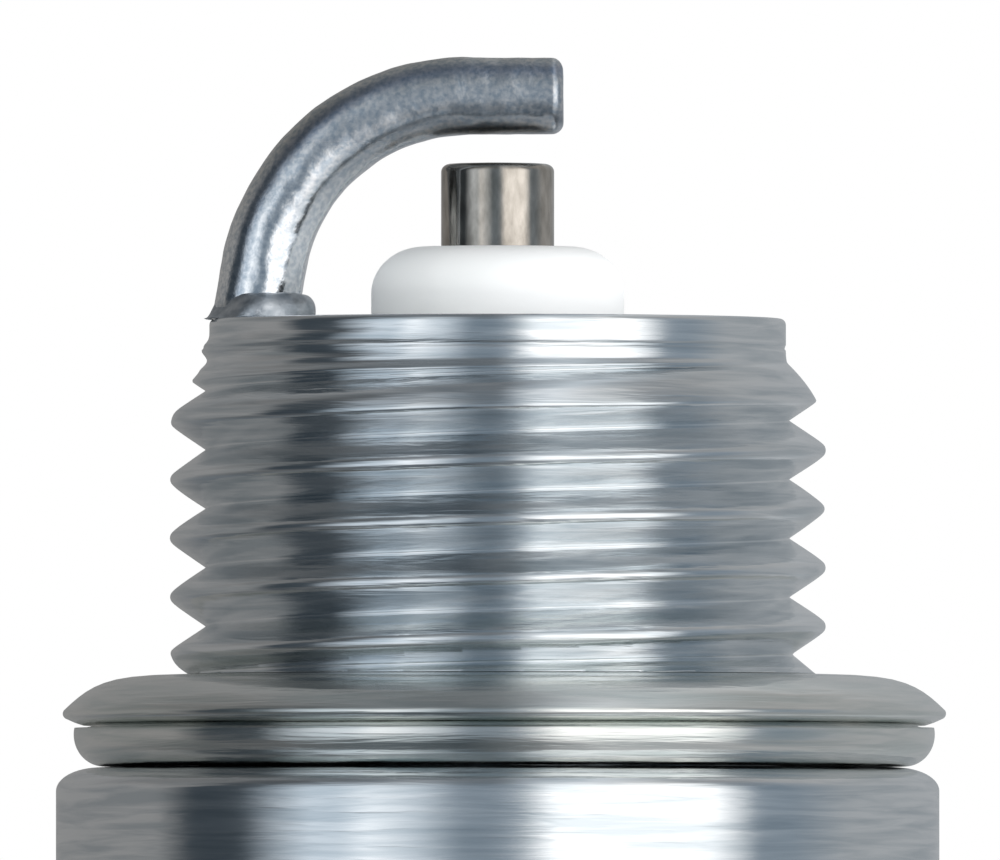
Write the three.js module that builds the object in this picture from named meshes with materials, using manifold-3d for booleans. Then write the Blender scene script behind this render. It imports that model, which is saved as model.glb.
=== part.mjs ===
// A compact spark plug with a 14 mm thread, standing with its firing end up.
// Millimetres, +Z up. The origin is on the plug's axis, in the plane of the flange face that
// the gasket rests on. The ground electrode is welded on the -X side and reaches towards +X.
import * as THREE from 'three';
import { mergeVertices } from 'three/addons/utils/BufferGeometryUtils.js';
import Module from 'manifold-3d';

const wasm = await Module();
wasm.setup();

// ---------- driving dimensions ----------

const PITCH = 1.25;                // M14 x 1.25, right-handed
const THREAD_CREST_R = 6.975;
const THREAD_ROOT_R = 6.2;
const THREAD_CREST_FLAT = 0.16;    // width of the flat on the crest
const THREAD_PHASE_Z = 6.74;       // a crest passes +X at this height
const THREAD_TOP = 8.8;            // a cone from here down cuts the first turns
const THREAD_END = 1.75;           // a cone from here up cuts the last turn
const CONE_SLOPE = 0.72;           // radius gained per millimetre along both cones
const FLANK_SLOPE = Math.tan(Math.PI / 6);

const REACH = 9.525;               // 3/8 inch from the flange face to the end of the thread
const SPIGOT_R = 6.12;             // plain end above the thread
const NOSE_BORE_R = 4.1;           // firing chamber
const MID_BORE_R = 5.0;
const REAR_BORE_R = 6.1;

const FLANGE_R = 9.375;
const FLANGE_Z = -2.6;             // back of the flange
const SHOULDER_WIDE = 0.92;        // the flange's rounded front edge, across and along the axis
const SHOULDER_DEEP = 0.5;
const NECK_R = 7.7;                // thin wall between the flange and the hexagon
const HEX_FLATS = 19.05;           // 3/4 inch spanner
const HEX_TOP = -4.0;
const HEX_BOTTOM = -12.4;
const HEX_CHAMFER_R = 10.75;
const HEX_CHAMFER_TOP_R = 9.3;     // where the chamfer cone would meet 0.5 past the hexagon's end
const COLLAR_R = 7.55;             // crimped collar behind the hexagon
const COLLAR_Z = -15.4;
const COLLAR_TURN_IN = 0.7;        // the collar's rolled edge
const SEAT_HIGH = -0.45;           // the cone that the insulator seats on, narrow end
const SEAT_LOW = -1.35;
const STEP_HIGH = -3.65;           // the cone below it, where the bore widens to the rear
const STEP_LOW = -4.75;

const GASKET_TOP = 1.97;
const GASKET_RIM_R = 9.37;
const GASKET_BORE_R = 6.45;
const GASKET_FOOT_R = 8.66;        // edge of its flat underside
const GASKET_ROLL_R = 9.12;        // the lower fold
const GASKET_SEAM_Z = 0.82;        // between the lower fold and the brim
const GASKET_OFFSET_X = 0.14;      // it hangs loose, a little off the plug's axis
const TOUCH = 0.02;                // clearance between faces that rest on each other
const SLIP = 0.03;                 // radial clearance of the parts stacked in the insulator

const NOSE_TIP = 11.055;
const NOSE_R = 2.685;
const NOSE_EDGE_R = 0.95;
const NOSE_ROOT_R = 3.45;
const SHOULDER_R = 4.88;
const BODY_R = 5.98;
const BODY_END = -10.4;
const STEM_R = 5.15;
const STEM_END = -34.5;
const RIB_COUNT = 5;               // creepage ribs on the glazed stem
const RIB_FIRST_Z = -25.6;
const RIB_STEP = 2.05;
const RIB_DEEP = 0.62;
const TIP_HOLE_R = 1.23;
const CORE_HOLE_R = 1.95;
const CORE_STEP = 1.5;             // the insulator's hole widens below this height
const SEAL_R = 1.92;               // the seals and the resistor fill the wide hole

const CENTRE_R = 1.2;
const CENTRE_EDGE_R = 0.17;
const CENTRE_END = -0.95;
const CENTRE_HEAD_R = 1.75;        // the head that rests on the step in the insulator's hole
const SPARK_GAP = 0.61;
const COPPER_R = 0.6;
const COPPER_TIP = 11.15;

// The stack sealed in the insulator's hole, by the height of each joint. In the names of the
// pieces, lower means nearer the firing end.
const STACK_TOP = -0.14;
const RESISTOR_TOP = -4.52;
const RESISTOR_END = -14;
const STUD_TIP = -15.03;
const UPPER_SEAL_END = -18.2;

// The powder seal between the body's rear bore and the insulator's stem.
const WIRE_R = 0.42;
const FRONT_WIRE_Z = -11.05;
const REAR_WIRE_Z = -13.85;

const GROUND_WIDTH = 2.6;
const GROUND_THICK_BASE = 1.8;
const GROUND_THICK_TIP = 1.58;
const GROUND_BASE_X = -5.16;
const GROUND_LEAN = THREE.MathUtils.degToRad(10);
const GROUND_STRAIGHT = 1.15;
const GROUND_BEND_R = 4.35;
const GROUND_TIP_X = 1.39;
const GROUND_CORNER_R = 0.5;
const GROUND_END_ROUND = 0.12;
const WELD_REACH = 0.38;           // upset metal round the foot of the bar
const WELD_HIGH = 0.52;
const WELD_INWARD = 0.42;          // how far it leans inwards, per unit of its growth

const STUD_R = 1.95;               // M4 terminal thread
const STUD_PITCH = 0.7;
const STUD_END = -43.6;
const STUD_COLLAR_R = 3.0;
const STUD_COLLAR_DEEP = 1.0;
const STUD_SHANK_R = 1.8;
const STUD_SHANK_END = -18.8;
const STUD_TIP_R = 1.45;
const NUT_TOP = -35.5;
const NUT_END = -44.4;
const NUT_BORE_R = 2.02;
const NUT_BASE_R = 3.35;
const NUT_WAIST_R = 2.62;          // groove that the plug cap's spring clip snaps into
const NUT_WAIST_TOP = -39.0;
const NUT_WAIST_END = -40.5;
const NUT_HEAD_R = 3.18;

const SHELL_SEGMENTS = 40;
const BODY_SEGMENTS = 32;
const CORE_SEGMENTS = 16;
const STUD_SEGMENTS = 12;

// ---------- materials ----------

const material = (color, roughness, metalness) =>
  new THREE.MeshStandardMaterial({ color, roughness, metalness });

const plated = material(0x9aa3a8, 0.3, 1);
const gasketSteel = material(0x8f9592, 0.42, 1);
const nickel = material(0x868c91, 0.5, 1);
const centreNickel = material(0x7d756e, 0.35, 1);
const copper = material(0xb06a3c, 0.35, 1);
const ceramic = material(0xf2f4f4, 0.6, 0);
const glassSeal = material(0x2f3a36, 0.5, 0);
const carbon = material(0x26262a, 0.8, 0);
const talc = material(0xd9d4c6, 0.9, 0);
const steel = material(0x8d9094, 0.4, 1);

// ---------- geometry helpers ----------

const at = (r, z) => new THREE.Vector2(r, z);

// Points of an arc in the (radius, height) plane, with its angles in degrees from +radius.
// With a rise of its own it is part of an ellipse.
function arc(centreR, centreZ, radius, from, to, steps, rise = radius) {
  return Array.from({ length: steps + 1 }, (_, i) => {
    const a = THREE.MathUtils.degToRad(from + (to - from) * i / steps);
    return at(centreR + radius * Math.cos(a), centreZ + rise * Math.sin(a));
  });
}

// A profile listed from its lowest point, anticlockwise, turned about Z.
function turned(profile, segments) {
  return new THREE.LatheGeometry(profile, segments).rotateX(Math.PI / 2);
}

// A profile that closes on itself, such as a ring's or a tube's.
function turnedRing(profile, segments) {
  return turned([...profile, profile[0]], segments);
}

// A skin over a row of rings that have the same number of points, all convex. It is capped at
// both ends, or runs on from the last ring to the first.
function lofted(rings, endless = false) {
  const count = rings[0].length;
  const rows = endless ? rings.length : rings.length - 1;
  const index = [];
  for (let k = 0; k < rows; k++) {
    const next = (k + 1) % rings.length;
    for (let i = 0; i < count; i++) {
      const j = (i + 1) % count;
      const [a, b, c, d] = [k * count + i, k * count + j, next * count + j, next * count + i];
      index.push(a, b, c, a, c, d);
    }
  }
  const last = (rings.length - 1) * count;
  for (let i = 1; !endless && i < count - 1; i++) {
    index.push(0, i + 1, i);
    index.push(last, last + i, last + i + 1);
  }
  const geometry = new THREE.BufferGeometry().setFromPoints(rings.flat());
  geometry.setIndex(index);
  return geometry;
}

function solid(geometry) {
  const bare = geometry.clone();
  bare.deleteAttribute('normal');
  bare.deleteAttribute('uv');
  const merged = mergeVertices(bare, 1e-4);
  const corners = merged.getAttribute('position').array;
  const faces = [];
  const index = merged.getIndex().array;
  for (let i = 0; i < index.length; i += 3) {
    const [a, b, c] = index.subarray(i, i + 3);
    if (a !== b && b !== c && a !== c) faces.push(a, b, c);
  }
  return new wasm.Manifold(new wasm.Mesh({
    numProp: 3,
    vertProperties: new Float32Array(corners),
    triVerts: new Uint32Array(faces),
  }));
}

function geometryOf(body) {
  const mesh = body.getMesh();
  const geometry = new THREE.BufferGeometry();
  geometry.setAttribute('position', new THREE.BufferAttribute(mesh.vertProperties, 3));
  geometry.setIndex(new THREE.BufferAttribute(mesh.triVerts, 1));
  return geometry;
}

function part(name, geometry, finish) {
  const mesh = new THREE.Mesh(geometry, finish);
  mesh.name = name;
  return mesh;
}

// ---------- threads ----------

// A right-handed thread ridge whose root is sunk into the core that it is joined to.
// phaseZ is a height where the crest passes +X.
function threadRidge({ pitch, crestR, baseR, crestFlat, from, to, phaseZ, segments }) {
  const topHalf = crestFlat / 2;
  const baseHalf = Math.min(topHalf + (crestR - baseR) * FLANK_SLOPE, pitch * 0.48);
  const rings = [];
  for (let k = Math.ceil((from - phaseZ) / pitch * segments);
    k <= (to - phaseZ) / pitch * segments; k++) {
    const angle = k / segments * 2 * Math.PI;
    const z = phaseZ + pitch * k / segments;
    const place = (radius, dz) =>
      new THREE.Vector3(radius * Math.cos(angle), radius * Math.sin(angle), z + dz);
    rings.push([place(baseR, baseHalf), place(crestR, topHalf), place(crestR, -topHalf),
      place(baseR, -baseHalf)]);
  }
  return lofted(rings);
}

// ---------- metal body ----------

function metalShell() {
  const blank = solid(turned([
    at(0, COLLAR_Z),
    at(COLLAR_R - COLLAR_TURN_IN, COLLAR_Z),
    at(COLLAR_R, COLLAR_Z + COLLAR_TURN_IN),
    at(COLLAR_R, HEX_BOTTOM + 0.3),
    at(COLLAR_R + 0.3, HEX_BOTTOM + 0.6),
    at(COLLAR_R + 0.3, HEX_TOP - 0.5),
    at(NECK_R, HEX_TOP),
    at(NECK_R, FLANGE_Z),
    at(FLANGE_R - 0.35, FLANGE_Z),
    at(FLANGE_R, FLANGE_Z + 0.35),
    ...arc(FLANGE_R - SHOULDER_WIDE, -SHOULDER_DEEP, SHOULDER_WIDE, 0, 90, 4, SHOULDER_DEEP),
    at(THREAD_ROOT_R + 0.05, 0),
    at(THREAD_ROOT_R, 0.1),
    at(THREAD_ROOT_R, REACH - 1.1),
    at(SPIGOT_R, REACH - 0.9),
    at(SPIGOT_R, REACH - 0.15),
    at(SPIGOT_R - 0.15, REACH),
    at(0, REACH),
  ], SHELL_SEGMENTS));

  const hexLength = HEX_TOP - HEX_BOTTOM;
  const hexCornerR = HEX_FLATS / 2 / Math.cos(Math.PI / 6);
  const prism = new THREE.CylinderGeometry(hexCornerR, hexCornerR, hexLength, 6)
    .rotateX(Math.PI / 2).rotateZ(Math.PI / 6).translate(0, 0, (HEX_TOP + HEX_BOTTOM) / 2);
  const chamferCone = turned([
    at(0, HEX_BOTTOM - 0.5),
    at(HEX_CHAMFER_TOP_R, HEX_BOTTOM - 0.5),
    at(HEX_CHAMFER_R, HEX_BOTTOM + 0.45),
    at(HEX_CHAMFER_R, HEX_TOP - 0.45),
    at(HEX_CHAMFER_TOP_R, HEX_TOP + 0.5),
    at(0, HEX_TOP + 0.5),
  ], SHELL_SEGMENTS);
  const hexagon = solid(prism).intersect(solid(chamferCone));

  const ridge = threadRidge({
    pitch: PITCH, crestR: THREAD_CREST_R, baseR: THREAD_ROOT_R - 0.14,
    crestFlat: THREAD_CREST_FLAT, from: THREAD_END, to: THREAD_TOP + 0.4,
    phaseZ: THREAD_PHASE_Z, segments: SHELL_SEGMENTS,
  });
  const coneReach = (THREAD_CREST_R + 0.1 - THREAD_ROOT_R) / CONE_SLOPE;
  const cones = turned([
    at(0, THREAD_END - 1),
    at(THREAD_ROOT_R - 1, THREAD_END - 1),
    at(THREAD_ROOT_R - 0.05, THREAD_END),
    at(THREAD_CREST_R + 0.1, THREAD_END + coneReach),
    at(THREAD_CREST_R + 0.1, THREAD_TOP - coneReach),
    at(THREAD_ROOT_R - 0.05, THREAD_TOP),
    at(THREAD_ROOT_R - 1, THREAD_TOP + 1),
    at(0, THREAD_TOP + 1),
  ], SHELL_SEGMENTS);

  const bore = turned([
    at(0, COLLAR_Z - 1),
    at(STEM_R + 0.15, COLLAR_Z - 1),
    at(STEM_R + 0.15, COLLAR_Z + 0.3),
    at(REAR_BORE_R, COLLAR_Z + 0.95),
    at(REAR_BORE_R, STEP_LOW),
    at(MID_BORE_R, STEP_HIGH),
    at(MID_BORE_R, SEAT_LOW),
    at(NOSE_BORE_R, SEAT_HIGH),
    at(NOSE_BORE_R, REACH + 1),
    at(0, REACH + 1),
  ], BODY_SEGMENTS);

  const thread = solid(ridge).intersect(solid(cones));
  const body = blank.add(hexagon).add(thread).subtract(solid(bore));
  return part('metal_shell', geometryOf(body), plated);
}

// ---------- gasket: one folded sheet ring, held on by the thread run-out ----------

function gasket() {
  const profile = [
    at(GASKET_BORE_R + 0.25, TOUCH),
    at(GASKET_FOOT_R, TOUCH),
    at(GASKET_ROLL_R - 0.14, 0.25),
    ...arc(GASKET_ROLL_R - 0.26, 0.56, 0.26, -25, 60, 3),
    at(GASKET_ROLL_R - 0.1, GASKET_SEAM_Z),
    at(9.2, 0.94),
    at(GASKET_RIM_R - 0.03, 1.02),
    at(GASKET_RIM_R, 1.12),
    at(GASKET_RIM_R - 0.14, 1.3),
    at(8.97, 1.58),
    at(8.6, 1.83),
    at(8.2, GASKET_TOP),
    at(THREAD_CREST_R + 0.07, GASKET_TOP),
    at(GASKET_BORE_R, 1.5),
    at(GASKET_BORE_R, 0.3),
  ];
  const mesh = part('gasket', turnedRing(profile, SHELL_SEGMENTS), gasketSteel);
  mesh.position.x = GASKET_OFFSET_X;
  return mesh;
}

// ---------- ceramic insulator ----------

function insulator() {
  const ribs = [];
  for (let i = 0; i < RIB_COUNT; i++) {
    const z = RIB_FIRST_Z + i * RIB_STEP;
    ribs.push(at(STEM_R - RIB_DEEP, z), at(STEM_R, z + RIB_DEEP), at(STEM_R, z + 1.2));
    ribs.push(at(STEM_R - RIB_DEEP, z + 1.6));
  }
  const profile = [
    at(CORE_HOLE_R, STEM_END),
    at(3.7, STEM_END),
    ...arc(3.7, STEM_END + 0.6, 0.6, -60, 0, 3),
    at(STEM_R - RIB_DEEP, RIB_FIRST_Z - 1.6),
    ...ribs,
    at(STEM_R, COLLAR_Z + 0.2),
    at(STEM_R, BODY_END),
    at(BODY_R, BODY_END + 0.8),
    at(BODY_R, STEP_LOW - 0.1),
    at(SHOULDER_R, STEP_HIGH - 0.13),
    at(SHOULDER_R, SEAT_LOW - 0.4),
    at(NOSE_ROOT_R + 0.3, SEAT_HIGH - 0.17),
    at(NOSE_ROOT_R, 0.1),
    at(NOSE_R + 0.05, 8.6),
    at(NOSE_R, 9.4),
    ...arc(NOSE_R - NOSE_EDGE_R, NOSE_TIP - NOSE_EDGE_R, NOSE_EDGE_R, 0, 90, 5),
    at(TIP_HOLE_R, NOSE_TIP),
    at(TIP_HOLE_R, CORE_STEP + 0.45),
    at(CORE_HOLE_R, CORE_STEP - 0.3),
  ];
  return part('insulator', turnedRing(profile, BODY_SEGMENTS), ceramic);
}

// ---------- the bent bar of the ground electrode ----------

const GROUND_BEND = Math.PI / 2 - GROUND_LEAN;
const GROUND_BEND_X = GROUND_BASE_X + GROUND_STRAIGHT * Math.sin(GROUND_LEAN)
  + GROUND_BEND_R * Math.cos(GROUND_LEAN);
const GROUND_LENGTH = GROUND_STRAIGHT + GROUND_BEND_R * GROUND_BEND
  + GROUND_TIP_X - GROUND_BEND_X;

// The bar's centre and direction at a distance along it, in the XZ plane.
function groundStation(s) {
  const bend = THREE.MathUtils.clamp((s - GROUND_STRAIGHT) / GROUND_BEND_R, 0, GROUND_BEND);
  const rise = Math.min(s, GROUND_STRAIGHT);
  const run = Math.max(s - GROUND_STRAIGHT - GROUND_BEND_R * GROUND_BEND, 0);
  const angle = Math.PI / 2 - GROUND_LEAN - bend;
  const x = GROUND_BASE_X + rise * Math.sin(GROUND_LEAN)
    + GROUND_BEND_R * (Math.cos(GROUND_LEAN) - Math.sin(angle)) + run;
  const z = REACH + rise * Math.cos(GROUND_LEAN)
    + GROUND_BEND_R * (Math.cos(angle) - Math.sin(GROUND_LEAN));
  return { x, z, angle };
}

// A bar section with rounded corners, as [across the thickness, along Y] offsets.
function barOutline(thickness, width, corner) {
  const outline = [];
  for (const [sx, sy, from] of [[1, 1, 0], [-1, 1, 90], [-1, -1, 180], [1, -1, 270]]) {
    for (let i = 0; i <= 2; i++) {
      const a = THREE.MathUtils.degToRad(from + 45 * i);
      outline.push([sx * (thickness / 2 - corner) + corner * Math.cos(a),
        sy * (width / 2 - corner) + corner * Math.sin(a)]);
    }
  }
  return outline.reverse();
}

function groundRing(s, inset = 0) {
  const { x, z, angle } = groundStation(s);
  const thickness = THREE.MathUtils.lerp(GROUND_THICK_BASE, GROUND_THICK_TIP, s / GROUND_LENGTH);
  const outline = barOutline(
    thickness - 2 * inset, GROUND_WIDTH - 2 * inset, GROUND_CORNER_R - inset);
  return outline.map(([n, y]) =>
    new THREE.Vector3(x - n * Math.sin(angle), y, z + n * Math.cos(angle)));
}

// The same section slid along the bar until it lies flat on a level plane, and grown all round.
function groundRingOnPlane(planeZ, grow = 0) {
  const { x, z, angle } = groundStation(0);
  const outline = barOutline(
    GROUND_THICK_BASE + 2 * grow, GROUND_WIDTH + 2 * grow, GROUND_CORNER_R + grow);
  return outline.map(([n, y]) => {
    const slide = (planeZ - z - n * Math.cos(angle)) / Math.sin(angle);
    const inward = grow * WELD_INWARD;
    return new THREE.Vector3(x - n * Math.sin(angle) + slide * Math.cos(angle) + inward, y, planeZ);
  });
}

// ---------- conductors inside the insulator ----------

// The height of the bar's lower face above the centre electrode, less the spark gap.
function centreTip() {
  const overCentre = 1 - GROUND_TIP_X / GROUND_LENGTH;
  const thickness = THREE.MathUtils.lerp(GROUND_THICK_BASE, GROUND_THICK_TIP, overCentre);
  return groundStation(GROUND_LENGTH).z - thickness / 2 - SPARK_GAP;
}

function centreElectrode() {
  const tip = centreTip();
  const profile = [
    at(0, COPPER_TIP + 0.05),
    at(COPPER_R + TOUCH, COPPER_TIP + 0.05),
    at(COPPER_R + TOUCH, CENTRE_END),
    at(CENTRE_R - 0.1, CENTRE_END),
    at(CENTRE_R, CENTRE_END + 0.1),
    at(CENTRE_R, -0.1),
    at(CENTRE_HEAD_R, 0.05),
    at(CENTRE_HEAD_R, 1.0),
    at(CENTRE_R, CORE_STEP + 0.1),
    ...arc(CENTRE_R - CENTRE_EDGE_R, tip - CENTRE_EDGE_R, CENTRE_EDGE_R, 0, 90, 3),
    at(0, tip),
  ];
  return part('center_electrode', turned(profile, CORE_SEGMENTS), centreNickel);
}

function centreElectrodeCore() {
  const low = CENTRE_END + TOUCH;
  const profile = [at(0, low), at(COPPER_R, low), at(COPPER_R, COPPER_TIP), at(0, COPPER_TIP)];
  return part('center_electrode_core', turned(profile, CORE_SEGMENTS), copper);
}

function lowerGlassSeal() {
  const profile = [
    at(0, RESISTOR_TOP + TOUCH),
    at(SEAL_R, RESISTOR_TOP + TOUCH),
    at(SEAL_R, STACK_TOP),
    at(CENTRE_R + SLIP, STACK_TOP),
    at(CENTRE_R + SLIP, CENTRE_END - SLIP),
    at(0, CENTRE_END - SLIP),
  ];
  return part('lower_glass_seal', turned(profile, CORE_SEGMENTS), glassSeal);
}

function resistor() {
  const profile = [
    at(0, RESISTOR_END),
    at(SEAL_R, RESISTOR_END),
    at(SEAL_R, RESISTOR_TOP),
    at(0, RESISTOR_TOP),
  ];
  return part('resistor', turned(profile, CORE_SEGMENTS), carbon);
}

function upperGlassSeal() {
  const profile = [
    at(STUD_TIP_R + SLIP, UPPER_SEAL_END),
    at(SEAL_R, UPPER_SEAL_END),
    at(SEAL_R, RESISTOR_END - TOUCH),
    at(0, RESISTOR_END - TOUCH),
    at(0, STUD_TIP + SLIP),
    at(STUD_TIP_R + SLIP, STUD_TIP + SLIP),
  ];
  return part('upper_glass_seal', turnedRing(profile, CORE_SEGMENTS), glassSeal);
}

// ---------- terminal ----------

function terminalStud() {
  const coreR = STUD_R - 0.613 * STUD_PITCH;
  const body = solid(turned([
    at(0, STUD_END),
    at(coreR - 0.25, STUD_END),
    at(coreR, STUD_END + 0.3),
    at(coreR, STEM_END - STUD_COLLAR_DEEP),
    at(STUD_COLLAR_R - 0.1, STEM_END - STUD_COLLAR_DEEP),
    at(STUD_COLLAR_R, STEM_END - STUD_COLLAR_DEEP + 0.1),
    at(STUD_COLLAR_R, STEM_END - TOUCH),
    at(STUD_SHANK_R, STEM_END - TOUCH),
    at(STUD_SHANK_R, STUD_SHANK_END - 0.4),
    at(STUD_TIP_R, STUD_SHANK_END),
    at(STUD_TIP_R, STUD_TIP),
    at(0, STUD_TIP),
  ], STUD_SEGMENTS));
  const ridge = threadRidge({
    pitch: STUD_PITCH, crestR: STUD_R, baseR: coreR - 0.06, crestFlat: 0.09,
    from: STUD_END + 0.5, to: NUT_TOP - 0.4, phaseZ: STUD_END, segments: STUD_SEGMENTS,
  });
  return part('terminal_stud', geometryOf(body.add(solid(ridge))), steel);
}

function terminalNut() {
  const profile = [
    at(NUT_BORE_R + 0.2, NUT_END),
    at(NUT_HEAD_R - 0.53, NUT_END),
    ...arc(NUT_HEAD_R - 0.58, NUT_END + 0.55, 0.55, -60, 0, 3),
    at(NUT_HEAD_R, NUT_WAIST_END - 1.1),
    at(NUT_WAIST_R, NUT_WAIST_END),
    at(NUT_WAIST_R, NUT_WAIST_TOP),
    at(NUT_BASE_R, NUT_WAIST_TOP + 0.9),
    at(NUT_BASE_R, NUT_TOP - 0.2),
    at(NUT_BASE_R - 0.2, NUT_TOP - TOUCH),
    at(NUT_BORE_R + 0.2, NUT_TOP - TOUCH),
    at(NUT_BORE_R, NUT_TOP - 0.3),
    at(NUT_BORE_R, NUT_END + 0.2),
  ];
  return part('terminal_nut', turnedRing(profile, BODY_SEGMENTS), plated);
}

// ---------- packing between the insulator and the metal body ----------

// A soft steel washer on the cone where the insulator seats in the metal body.
function seatWasher() {
  const profile = [
    at(SHOULDER_R - 0.03, SEAT_LOW - 0.25),
    at(MID_BORE_R - 0.05, SEAT_LOW + 0.01),
    at(NOSE_BORE_R, SEAT_HIGH - 0.05),
    at(NOSE_BORE_R - 0.15, SEAT_HIGH - 0.27),
  ];
  return part('insulator_seat_washer', turnedRing(profile, BODY_SEGMENTS), steel);
}

function wireRing(name, z) {
  const profile = arc((STEM_R + REAR_BORE_R) / 2, z, WIRE_R, 0, 300, 5);
  return part(name, turnedRing(profile, BODY_SEGMENTS), steel);
}

function talcRing() {
  const inner = STEM_R + SLIP;
  const outer = REAR_BORE_R - 0.06;
  const low = REAR_WIRE_Z + WIRE_R + 0.08;
  const high = FRONT_WIRE_Z - WIRE_R - 0.08;
  const profile = [at(inner, low), at(outer, low), at(outer, high), at(inner, high)];
  return part('talc_ring', turnedRing(profile, BODY_SEGMENTS), talc);
}

// ---------- ground electrode and its weld ----------

function groundElectrode() {
  const steps = 18;
  const rings = [groundRingOnPlane(REACH)];
  for (let i = 0; i < steps - 1; i++) {
    const s = THREE.MathUtils.lerp(0.55, GROUND_LENGTH - GROUND_END_ROUND, i / (steps - 2));
    rings.push(groundRing(s));
  }
  rings.push(groundRing(GROUND_LENGTH, GROUND_END_ROUND));
  return part('ground_electrode', lofted(rings), nickel);
}

// The upset metal squeezed out round the foot of the bar when it is welded on.
function groundElectrodeWeld() {
  const gap = 0.04;
  const profile = [
    [WELD_REACH - 0.02, 0],
    [WELD_REACH, WELD_HIGH / 3],
    [WELD_REACH * 0.63, WELD_HIGH * 0.8],
    [gap, WELD_HIGH],
    [gap, 0],
  ];
  const rings = profile.map(([grow, rise]) => groundRingOnPlane(REACH + rise, grow));
  return part('ground_electrode_weld', lofted(rings, true), nickel);
}

// ---------- assembly ----------

const plug = new THREE.Group();
plug.add(
  metalShell(),
  gasket(),
  insulator(),
  centreElectrode(),
  centreElectrodeCore(),
  lowerGlassSeal(),
  resistor(),
  upperGlassSeal(),
  terminalStud(),
  terminalNut(),
  seatWasher(),
  wireRing('lower_packing_ring', FRONT_WIRE_Z),
  talcRing(),
  wireRing('upper_packing_ring', REAR_WIRE_Z),
  groundElectrode(),
  groundElectrodeWeld(),
);

export default plug;
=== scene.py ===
"""A compact spark plug, firing end up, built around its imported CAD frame."""
import math

import bmesh
import bpy
import numpy as np
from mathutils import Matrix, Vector, noise


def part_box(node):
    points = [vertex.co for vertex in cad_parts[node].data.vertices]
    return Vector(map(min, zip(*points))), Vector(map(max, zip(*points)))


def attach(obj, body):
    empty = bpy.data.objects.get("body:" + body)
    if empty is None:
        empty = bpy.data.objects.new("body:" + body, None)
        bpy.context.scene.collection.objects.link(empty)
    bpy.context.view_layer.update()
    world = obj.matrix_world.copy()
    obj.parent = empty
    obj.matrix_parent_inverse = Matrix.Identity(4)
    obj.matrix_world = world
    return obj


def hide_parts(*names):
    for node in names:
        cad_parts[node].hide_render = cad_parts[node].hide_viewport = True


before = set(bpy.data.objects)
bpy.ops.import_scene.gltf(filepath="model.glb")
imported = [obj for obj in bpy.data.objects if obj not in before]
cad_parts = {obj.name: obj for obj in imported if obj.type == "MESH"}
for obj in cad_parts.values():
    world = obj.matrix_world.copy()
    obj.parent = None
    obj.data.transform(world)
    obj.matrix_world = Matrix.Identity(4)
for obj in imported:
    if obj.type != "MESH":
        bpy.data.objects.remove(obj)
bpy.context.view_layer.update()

# ---------- sizes, in millimetres, taken from the frame where it gives them ----------

MM = 0.001


def span(node):
    """Lowest and highest corner of a CAD node, in millimetres."""
    low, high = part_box(node)
    return low / MM, high / MM


SHELL_LOW, SHELL_HIGH = span("metal_shell")
GASKET_LOW, GASKET_HIGH = span("gasket")
CERAMIC_LOW, CERAMIC_HIGH = span("insulator")
CENTRE_LOW, CENTRE_HIGH = span("center_electrode")
GROUND_LOW, GROUND_HIGH = span("ground_electrode")
STUD_LOW, STUD_HIGH = span("terminal_stud")
NUT_LOW, NUT_HIGH = span("terminal_nut")

REACH = SHELL_HIGH.z               # end of the threaded body
COLLAR_END = SHELL_LOW.z
HEX_FLATS = SHELL_HIGH.y - SHELL_LOW.y
HEX_CHAMFER_R = SHELL_HIGH.x
HEX_TOP = -4.0
HEX_BOTTOM = -12.4
HEX_FACE_R = 9.0                   # where the hexagon's turned end faces stop
FLANGE_R = 9.375
FLANGE_BACK = -2.6
SHOULDER_RUN = 0.92                # the flange's rounded edge, inwards
SHOULDER_RISE = 0.5
NECK_R = 7.7
COLLAR_R = 7.55
STEM_R = 5.15
NOSE_BORE_R = 4.1

PITCH = 1.25
CREST_R = 6.975
ROOT_R = 6.2
SPIGOT_R = 6.12
FOOT_R = SPIGOT_R + 0.16
CREST_PHASE_Z = 6.74               # a crest passes +X at this height
THREAD_DEPTH = 0.613               # of a metric thread, in pitches

GASKET_R = (GASKET_HIGH.x - GASKET_LOW.x) / 2
GASKET_X = (GASKET_HIGH.x + GASKET_LOW.x) / 2
GASKET_TOP = GASKET_HIGH.z
GASKET_BORE_R = 6.45

WALL_LOW = GASKET_TOP + 0.02       # the thread ends a hair above the gasket
WALL_HIGH = REACH - 0.2

STUD_R = 1.95
STUD_PITCH = 0.7
STUD_CORE_R = STUD_R - THREAD_DEPTH * STUD_PITCH
NUT_BORE_R = 2.02

GROUND_BASE_X = -5.16
GROUND_LEAN = math.radians(10)
GROUND_STRAIGHT = 1.15
GROUND_BEND_R = 4.35
GROUND_THICK_BASE = 1.8
GROUND_THICK_TIP = 1.58
GROUND_WIDTH = GROUND_HIGH.y - GROUND_LOW.y
GROUND_TIP_X = GROUND_HIGH.x

GROUND_BEND = math.pi / 2 - GROUND_LEAN
GROUND_BEND_X = (GROUND_BASE_X + GROUND_STRAIGHT * math.sin(GROUND_LEAN)
                 + GROUND_BEND_R * math.cos(GROUND_LEAN))
GROUND_BEND_Z = REACH + GROUND_STRAIGHT * math.cos(GROUND_LEAN) - GROUND_BEND_R * math.sin(GROUND_LEAN)
GROUND_LENGTH = (GROUND_STRAIGHT + GROUND_BEND_R * GROUND_BEND
                 + GROUND_TIP_X - GROUND_BEND_X)

ROUND = 288                        # segments of the large round surfaces
SMALL_ROUND = 128
STUD_ROUND = 96
MERGE_MM = 2e-4                    # vertices closer than this become one
ZINC_REFLECTANCE = 0.8
DISPLAY_GAMMA = 2.2

noise.seed_set(1)                  # its default is the clock, so that every run would differ

# ---------- mesh helpers ----------


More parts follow.
